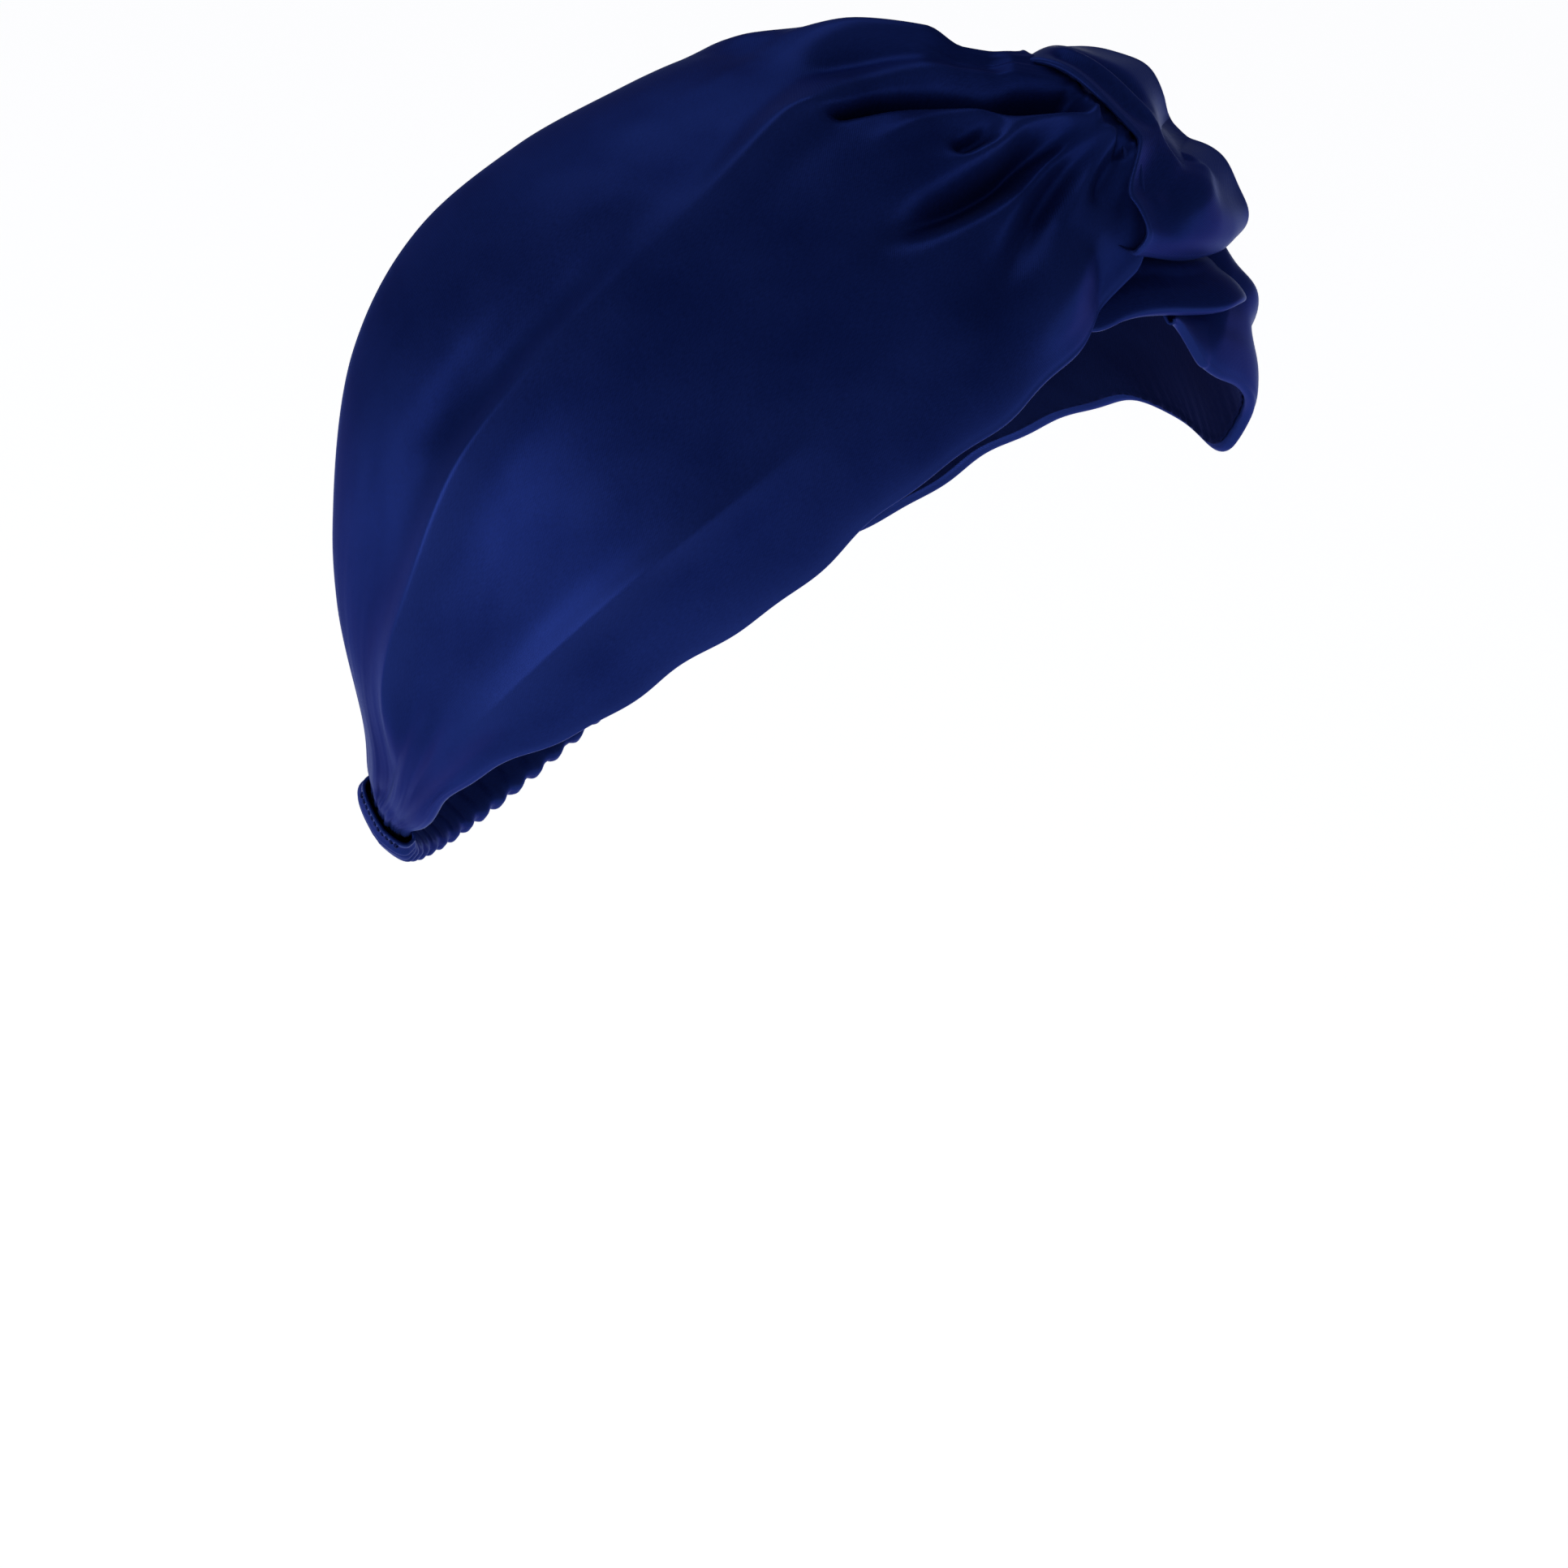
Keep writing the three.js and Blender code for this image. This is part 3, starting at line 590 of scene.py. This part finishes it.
def lower_band():
    """The lower loop: a smooth band arched along the knot's front edge, highest to the left."""
    u, a = tube_grid(150, 96)
    around = mix(LOWER["start"], LOWER["end"], u)
    taper = np.sqrt(np.maximum(1 - np.abs(2 * u - 1) ** 7, 0.02))
    across = rounded(np.cos(a), 0.6)
    across = np.where(across < 0, across * LOWER["tuck"], across)
    up = rounded(np.sin(a), 0.7)
    to_right = smoothstep(around, *LOWER["right"])
    dip = -0.0006 * np.exp(-((across + 0.1 + 0.5 * u) / 0.3) ** 2) * (up > 0)
    ripple = 0.00025 * np.sin(7 * u + 2.2 * across) + 0.00010 * np.sin(19 * u - 3 * across)
    arch = LOWER["rise"] * np.exp(-(((around - LOWER["peak"]) / LOWER["reach"]) ** 2))
    lift = LOWER["low"] - LOWER["right_drop"] * to_right + arch
    lift = lift + LOWER["tilt"] * across * taper * arch / LOWER["rise"]
    thin = mix(1, LOWER["right_thin"], to_right)
    lift = lift + (LOWER["half_thick"] * up + dip + ripple) * taper * thin
    wide = np.degrees(LOWER["half_wide"] * across * (0.3 + 0.7 * taper) / HEAD[1])
    middle = LOWER["across"] - LOWER["turn"] * smoothstep(around, *LOWER["turn_over"])
    rings = place(around, middle + wide, lift)
    wear = np.exp(-((across - 0.92) / 0.06) ** 2)
    return closed_tube("knot_lower_band_satin", rings, LOWER_FLAT, wear=wear)


def gathered_end(side):
    """One panel's gathered end inside the wrap: deep pleats, pinched together."""
    u, a = tube_grid(60, 220)
    near, far, high = GATHERED[side]
    pleat = 0.13 * np.cos(13 * a + 1.2 * np.sin(5 * u)) + 0.05 * np.cos(29 * a + 2 * u)
    swell = (1 + pleat) * (1 - 0.25 * (1 - u) ** 2)
    y = GATHERED_HALF_WIDE * np.cos(a) * swell
    z = high * np.sin(a) * swell
    rings = knot_point(mix(near, far, u), y, np.where(z < 0, z * 0.55, z))
    wear = np.clip(pleat * 5, 0, 1)
    return closed_tube(f"{side}_gathered_satin", rings, GATHERED_FLAT, wear=wear)


def thread_tube(name, route, radius, sides=10):
    """A thread along a route, with the twist of its plies in its section."""
    tangent = np.gradient(route, axis=0)
    tangent /= np.linalg.norm(tangent, axis=1, keepdims=True)
    up = route / np.linalg.norm(route, axis=1, keepdims=True)
    across = np.cross(tangent, up)
    across /= np.linalg.norm(across, axis=1, keepdims=True)
    up = np.cross(across, tangent)
    a = np.linspace(0, 2 * np.pi, sides, endpoint=False)
    along = np.concatenate([[0], np.cumsum(np.linalg.norm(np.diff(route, axis=0), axis=1))])
    ply = 1 + 0.16 * np.cos(2 * a[None] - along[:, None] / (radius * 1.6))
    rings = (route[:, None] + across[:, None] * (np.cos(a)[None] * ply * radius)[..., None]
             + up[:, None] * (np.sin(a)[None] * ply * radius)[..., None])
    return closed_tube(name, rings, (along[-1], 2 * np.pi * radius))


def knot_tack():
    """The hand tack under the knot: one thread going back and forth."""
    t = np.linspace(0, 1, 260)
    zigzag = TACK["half_wide"] * np.arcsin(np.sin(2 * np.pi * TACK["turns"] * t)) * 2 / np.pi
    across = np.degrees(mix(-TACK["half_long"], TACK["half_long"], t) / HEAD[1])
    dip = 0.0004 * np.cos(4 * np.pi * TACK["turns"] * t)
    route = place(np.degrees(zigzag / HEAD[0]), LOOP_CENTRE_ACROSS + across, TACK["lift"] + dip)
    return thread_tube("knot_tack_thread", route, TACK["radius"])


# ---- Nape ----
RUCHES = 17
RUCHE_HEIGHT = 0.00075
CASING_WALL = 0.0007
CASING_FLAT = (0.140, 0.034)
ELASTIC_FLAT = (0.100, 0.010)
RIDGE_FLAT = (0.018, 0.008)
STITCHES = {"count": 11, "radius": 0.00022, "rise": 0.00012, "past_seam": 0.9}


def nape_casing():
    """The ruched casing: a flat tube of satin drawn up on the elastic."""
    u, a = tube_grid(340, 72)
    around = mix(CASING_START, 360 - CASING_START, u)
    across = rounded(np.cos(a), 0.55)
    up = rounded(np.sin(a), 0.7)
    drift = 0.5 * np.sin(2 * across + 3.1 * np.sin(5 * u))
    wave = np.cos(2 * np.pi * RUCHES * u + drift)
    pinch = 1 - 2 * (1 - np.abs(np.cos(np.pi * RUCHES * u + drift / 2))) ** 2.2
    fine = 0.3 * np.sin(2 * np.pi * 41 * u + 2 * across)
    calm = smoothstep(np.minimum(u, 1 - u), 0.005, 0.05)
    walls = []
    for inset, ruche in ((0.0, 1.0), (CASING_WALL, 0.35)):
        height = RUCHE_HEIGHT * (0.55 * pinch + 0.3 * wave + 0.35 * fine) * ruche * calm
        scallop = 0.28 * np.cos(2 * np.pi * RUCHES * u + 0.6) * ruche * calm
        low = CASING_LIFT["inside"] + inset
        high = CASING_LIFT["outside"] - inset
        width = CASING_HALF_WIDTH - math.degrees(inset / HEAD[1])
        lift = (low + high) / 2 + (high - low) / 2 * up
        lift = lift + np.where(np.sin(a) > 0, height, height * 0.25)
        walls.append(place(around, NAPE_ACROSS + (width + scallop) * across, lift))
    outer, inner = walls
    # The section goes out along the outer wall and back along the inner one.
    rings = np.concatenate([outer, inner[::-1]], axis=0)
    wear = np.concatenate([np.clip(pinch, 0, 1), 0 * pinch])
    return closed_tube("nape_casing_satin", rings, CASING_FLAT, cap=False, wear=wear)


def nape_elastic():
    """The woven elastic: a ribbed strip with a cord along each edge."""
    u, v = np.meshgrid(np.linspace(0, 1, 260), np.linspace(0, 1, 60), indexing="ij")
    around = mix(CASING_START, 360 - CASING_START, u)
    across = NAPE_ACROSS + (2 * v - 1) * ELASTIC_HALF_WIDTH
    rib = 0.00012 * np.abs(np.sin(np.pi * 9 * v)) + 0.00006 * np.sin(2 * np.pi * 90 * u)
    edge = 0.00012 * np.exp(-np.minimum(v, 1 - v) / 0.04)
    surface = ELASTIC_LIFT["outside"] - 0.0002
    top = place(around, across, surface + rib + edge)
    thick = surface - ELASTIC_LIFT["inside"]
    return shell("nape_elastic_woven", top, thick, np.zeros(3), ELASTIC_FLAT)


def end_seam(side):
    """The join of a panel and the casing: a turned ridge of cloth under a row of stitches."""
    u, a = tube_grid(120, 40)
    middle = (SEAM["start"] + SEAM["end"]) / 2
    half_long = (SEAM["end"] - SEAM["start"]) / 2
    top = SEAM["outside"] - SATIN_THICK * 3
    half_high = (top - SEAM["inside"]) / 2
    pucker = 0.08 * np.cos(2 * np.pi * STITCHES["count"] * u)
    taper = np.sqrt(np.maximum(1 - np.abs(2 * u - 1) ** 8, 0.05))
    around = middle + half_long * np.cos(a) * (1 + pucker) * taper
    lift = (SEAM["inside"] + top) / 2 + half_high * np.sin(a) * (1 + pucker) * taper
    rings = place(SIGN[side] * around, NAPE_ACROSS + (2 * u - 1) * SEAM["half_width"] * 0.8, lift)
    return closed_tube(f"{side}_seam_ridge", rings, RIDGE_FLAT, wear=0.5 * np.ones_like(u))


def seam_stitches(side):
    """The stitches across that join, one short thread each, in one piece."""
    t = np.linspace(-1, 1, 22)
    lift = CASING_LIFT["outside"] + STITCHES["rise"] - 0.0007 * t**4
    around = CASING_START + STITCHES["past_seam"] + 0.5 * t
    joined = []
    for k in range(STITCHES["count"]):
        middle = NAPE_ACROSS + mix(-0.8, 0.8, (k + 0.5) / STITCHES["count"]) * CASING_HALF_WIDTH
        route = place(SIGN[side] * around, middle + 0.16 * t, lift)
        joined.append(thread_tube(f"{side}_stitch_{k}", route, STITCHES["radius"], 8))
    return join(joined, f"{side}_seam_stitches")


# ---- Materials ----
TWILL_ANGLE = math.radians(52)
# A wave texture of scale 1 repeats after this many units.
WAVE_PERIOD = 0.314
TWILL_DRIFT = {"Distortion": 0.6, "Detail": 1, "Detail Scale": 2}
FIBRE_SCALE = (900, 3200, 1)
DRIFT_SCALE = 46
THREAD_SHADE = (0.62, 0.64, 0.72, 1)
FLECK_SHARE = 0.35
WORN_SHARE = 0.32
WEAVE_DEPTH = 0.00006
SHINE = {
    "Metallic": 0.5,
    "Specular IOR Level": 0.03,
    "Specular Tint": (0.30, 0.42, 1.0, 1),
    "Sheen Roughness": 0.38,
    "Sheen Tint": (0.25, 0.38, 1.0, 1),
}


def cloth_material(name, deep, light, worn, roughness, sheen, thread, weave_bump, streak):
    """Woven cloth: twill lines on the cloth's own UV, colour drift, and paler worn edges. Thread is
    the width of a twill line in metres, and streak how much it darkens."""
    material = bpy.data.materials.new(name)
    material.use_nodes = True
    nodes, links = material.node_tree.nodes, material.node_tree.links
    shader = nodes["Principled BSDF"]

    def add(kind, values=None):
        """A node with values on its sockets."""
        made = nodes.new("ShaderNode" + kind)
        for socket, value in (values or {}).items():
            made.inputs[socket].default_value = value
        return made

    def on_cloth(values):
        """The cloth's UV, turned or scaled."""
        space = add("Mapping", values)
        links.new(uv.outputs["UV"], space.inputs["Vector"])
        return space.outputs["Vector"]

    def maths(operation, a, b):
        """The result of a sum or a product, where b is a number or an output."""
        made = add("Math")
        made.operation = operation
        links.new(a, made.inputs[0])
        if isinstance(b, bpy.types.NodeSocket):
            links.new(b, made.inputs[1])
        else:
            made.inputs[1].default_value = b
        return made.outputs["Value"]

    def colours(blend, share, a, b):
        """Two colours blended, where each of share, a and b is a value or an output."""
        made = add("Mix")
        made.data_type = "RGBA"
        made.blend_type = blend
        for socket, value in (("Factor", share), ("A", a), ("B", b)):
            if isinstance(value, bpy.types.NodeSocket):
                links.new(value, made.inputs[socket])
            else:
                made.inputs[socket].default_value = value
        return made.outputs["Result"]

    uv = add("UVMap")
    uv.uv_map = "cloth"
    twill = add("TexWave", {"Scale": WAVE_PERIOD / thread, **TWILL_DRIFT})
    twill.wave_profile = "SIN"
    links.new(on_cloth({"Rotation": (0, 0, TWILL_ANGLE)}), twill.inputs["Vector"])
    fibre = add("TexNoise", {"Scale": 1, "Detail": 3})
    links.new(on_cloth({"Scale": FIBRE_SCALE}), fibre.inputs["Vector"])
    drift = add("TexNoise", {"Scale": DRIFT_SCALE, "Detail": 3})
    links.new(uv.outputs["UV"], drift.inputs["Vector"])
    drift_range = add("MapRange", {"From Min": 0.3, "From Max": 0.7})
    links.new(drift.outputs["Fac"], drift_range.inputs["Value"])
    wear = add("Attribute")
    wear.attribute_name = "wear"

    tone = colours("MIX", drift_range.outputs["Result"], (*deep, 1), (*light, 1))
    lines = colours("MULTIPLY", maths("MULTIPLY", twill.outputs["Fac"], streak), tone, THREAD_SHADE)
    flecked = colours("OVERLAY", FLECK_SHARE, lines, fibre.outputs["Fac"])
    rubbed = colours("MIX", maths("MULTIPLY", wear.outputs["Fac"], WORN_SHARE), flecked, (*worn, 1))
    links.new(rubbed, shader.inputs["Base Color"])
    rough = add("MapRange", {"To Min": roughness - 0.05, "To Max": roughness + 0.06})
    links.new(fibre.outputs["Fac"], rough.inputs["Value"])
    links.new(rough.outputs["Result"], shader.inputs["Roughness"])
    bump = add("Bump", {"Strength": weave_bump, "Distance": WEAVE_DEPTH})
    links.new(maths("ADD", twill.outputs["Fac"], fibre.outputs["Fac"]), bump.inputs["Height"])
    links.new(bump.outputs["Normal"], shader.inputs["Normal"])
    shader.inputs["Sheen Weight"].default_value = sheen
    for socket, value in SHINE.items():
        shader.inputs[socket].default_value = value
    return material


SATIN = cloth_material("navy_satin", deep=(0.005, 0.012, 0.085), light=(0.008, 0.018, 0.115),
                       worn=(0.018, 0.036, 0.190), roughness=0.36, sheen=0.03, thread=0.00042,
                       weave_bump=0.18, streak=0.22)
# The lining's colours are partly its own navy and partly painted shade: they are kept far darker than the
# satin's to stand in for the shade inside the band.
LINING = cloth_material("navy_lining_painted_shade", deep=(0.0015, 0.003, 0.022), light=(0.003, 0.006, 0.036),
                        worn=(0.008, 0.014, 0.07), roughness=0.60, sheen=0.03, thread=0.00045,
                        weave_bump=0.15, streak=0.25)
ELASTIC = cloth_material("dark_elastic", deep=(0.006, 0.007, 0.020), light=(0.014, 0.016, 0.040),
                         worn=(0.03, 0.03, 0.07), roughness=0.78, sheen=0.10, thread=0.00070,
                         weave_bump=0.6, streak=0.6)
THREAD = cloth_material("navy_thread", deep=(0.005, 0.009, 0.060), light=(0.010, 0.018, 0.10),
                        worn=(0.02, 0.035, 0.16), roughness=0.60, sheen=0.15, thread=0.00030,
                        weave_bump=0.4, streak=0.5)


def dress(piece, material, slot, *nodes):
    """Gives a piece its material, and hides the CAD nodes it stands for. The slot is not used."""
    piece.data.materials.append(material)
    if nodes:
        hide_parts(*nodes)
    return piece


# ---- The pieces ----
pieces = {}
for side in ("right", "left"):
    pieces[side, "outer"] = dress(outer_panel(side), SATIN, "satin", f"{side}_outer_panel")
    pieces[side, "lining"] = dress(lining_panel(side), LINING, "lining", f"{side}_lining")
    pieces[side, "gathered"] = dress(gathered_end(side), SATIN, "satin", f"{side}_gathered_end")
    pieces[side, "seam"] = dress(end_seam(side), SATIN, "satin", f"{side}_end_seam")
    pieces[side, "stitches"] = dress(seam_stitches(side), THREAD, "thread")
wrap_piece = dress(wrap(), SATIN, "satin", "knot_upper_loop")
lower_piece = dress(lower_band(), SATIN, "satin", "knot_lower_loop")
tack_piece = dress(knot_tack(), THREAD, "thread", "knot_tack")
casing_piece = dress(nape_casing(), SATIN, "satin", "nape_casing")
elastic_piece = dress(nape_elastic(), ELASTIC, "elastic", "nape_elastic")

# ---- Which body each piece rides ----
# The right panel's satin and lining, the casing and the elastic have their placing baked into their
# meshes and are attached to no body.
for kind in ("outer", "lining"):
    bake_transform(pieces["right", kind])
    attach(pieces["left", kind], "left_half")
for side in ("right", "left"):
    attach(pieces[side, "gathered"], "left_half")
    for kind in ("seam", "stitches"):
        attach(pieces[side, kind], f"{side}_half")
for piece in (wrap_piece, lower_piece, tack_piece):
    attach(piece, "left_half")
for piece in (casing_piece, elastic_piece):
    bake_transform(piece)

# ---- Stage: floor, light and camera ----
FLOOR = {"depth": 0.30, "size": 14, "glow": 0.64}
WORLD_STRENGTH = 0.22
SUN = {"energy": 0.6, "angle": math.radians(50), "from": (0.15, 0.35, 1)}
bpy.ops.mesh.primitive_plane_add(size=FLOOR["size"], location=(0, 0, -FLOOR["depth"]))
floor = bpy.context.object
floor.name = "floor"
floor_material = bpy.data.materials.new("pale_floor")
floor_material.use_nodes = True
floor_shader = floor_material.node_tree.nodes["Principled BSDF"]
floor_shader.inputs["Base Color"].default_value = (0.86, 0.86, 0.87, 1)
floor_shader.inputs["Roughness"].default_value = 0.9
floor_shader.inputs["Emission Color"].default_value = (1, 1, 1, 1)
floor_shader.inputs["Emission Strength"].default_value = FLOOR["glow"]
floor.data.materials.append(floor_material)

world = bpy.data.worlds.new("studio")
world.use_nodes = True
world.node_tree.nodes["Background"].inputs["Color"].default_value = (0.93, 0.95, 1.0, 1)
world.node_tree.nodes["Background"].inputs["Strength"].default_value = WORLD_STRENGTH
bpy.context.scene.world = world


def area_light(name, place_at, size, power):
    """A round lamp that points at the origin."""
    data = bpy.data.lights.new(name, "AREA")
    data.shape = "DISK"
    data.size = size
    data.energy = power
    lamp = bpy.data.objects.new(name, data)
    lamp.location = place_at
    lamp.rotation_euler = (-Vector(place_at)).to_track_quat("-Z", "Y").to_euler()
    bpy.context.scene.collection.objects.link(lamp)


area_light("key_nape", (-1.4, 1.3, -0.2), 1.7, 24)
area_light("fill_face", (-1.2, -1.5, 0.9), 1.4, 0.8)
sun_data = bpy.data.lights.new("overhead", "SUN")
sun_data.energy = SUN["energy"]
sun_data.angle = SUN["angle"]
sun = bpy.data.objects.new("overhead", sun_data)
sun.rotation_euler = Vector(SUN["from"]).to_track_quat("Z", "Y").to_euler()
bpy.context.scene.collection.objects.link(sun)

VIEW_AZIMUTH, VIEW_ELEVATION = math.radians(-68), math.radians(15)
VIEW_DISTANCE = 1.1
LENS = 132.2
back = Vector((math.sin(VIEW_AZIMUTH) * math.cos(VIEW_ELEVATION),
               -math.cos(VIEW_AZIMUTH) * math.cos(VIEW_ELEVATION), math.sin(VIEW_ELEVATION)))
right = Vector((math.cos(VIEW_AZIMUTH), math.sin(VIEW_AZIMUTH), 0))
above = back.cross(right)
FRAMING = {"right": 0.0095, "below": 0.0549}
camera_data = bpy.data.cameras.new("camera")
camera_data.sensor_width = 36
camera_data.lens = LENS
camera = bpy.data.objects.new("camera", camera_data)
camera.location = back * VIEW_DISTANCE
target = right * FRAMING["right"] - above * FRAMING["below"]
camera.rotation_mode = "QUATERNION"
camera.rotation_quaternion = (target - camera.location).to_track_quat("-Z", "Y")
bpy.context.scene.collection.objects.link(camera)
bpy.context.scene.camera = camera
bpy.context.scene.view_settings.view_transform = "Standard"
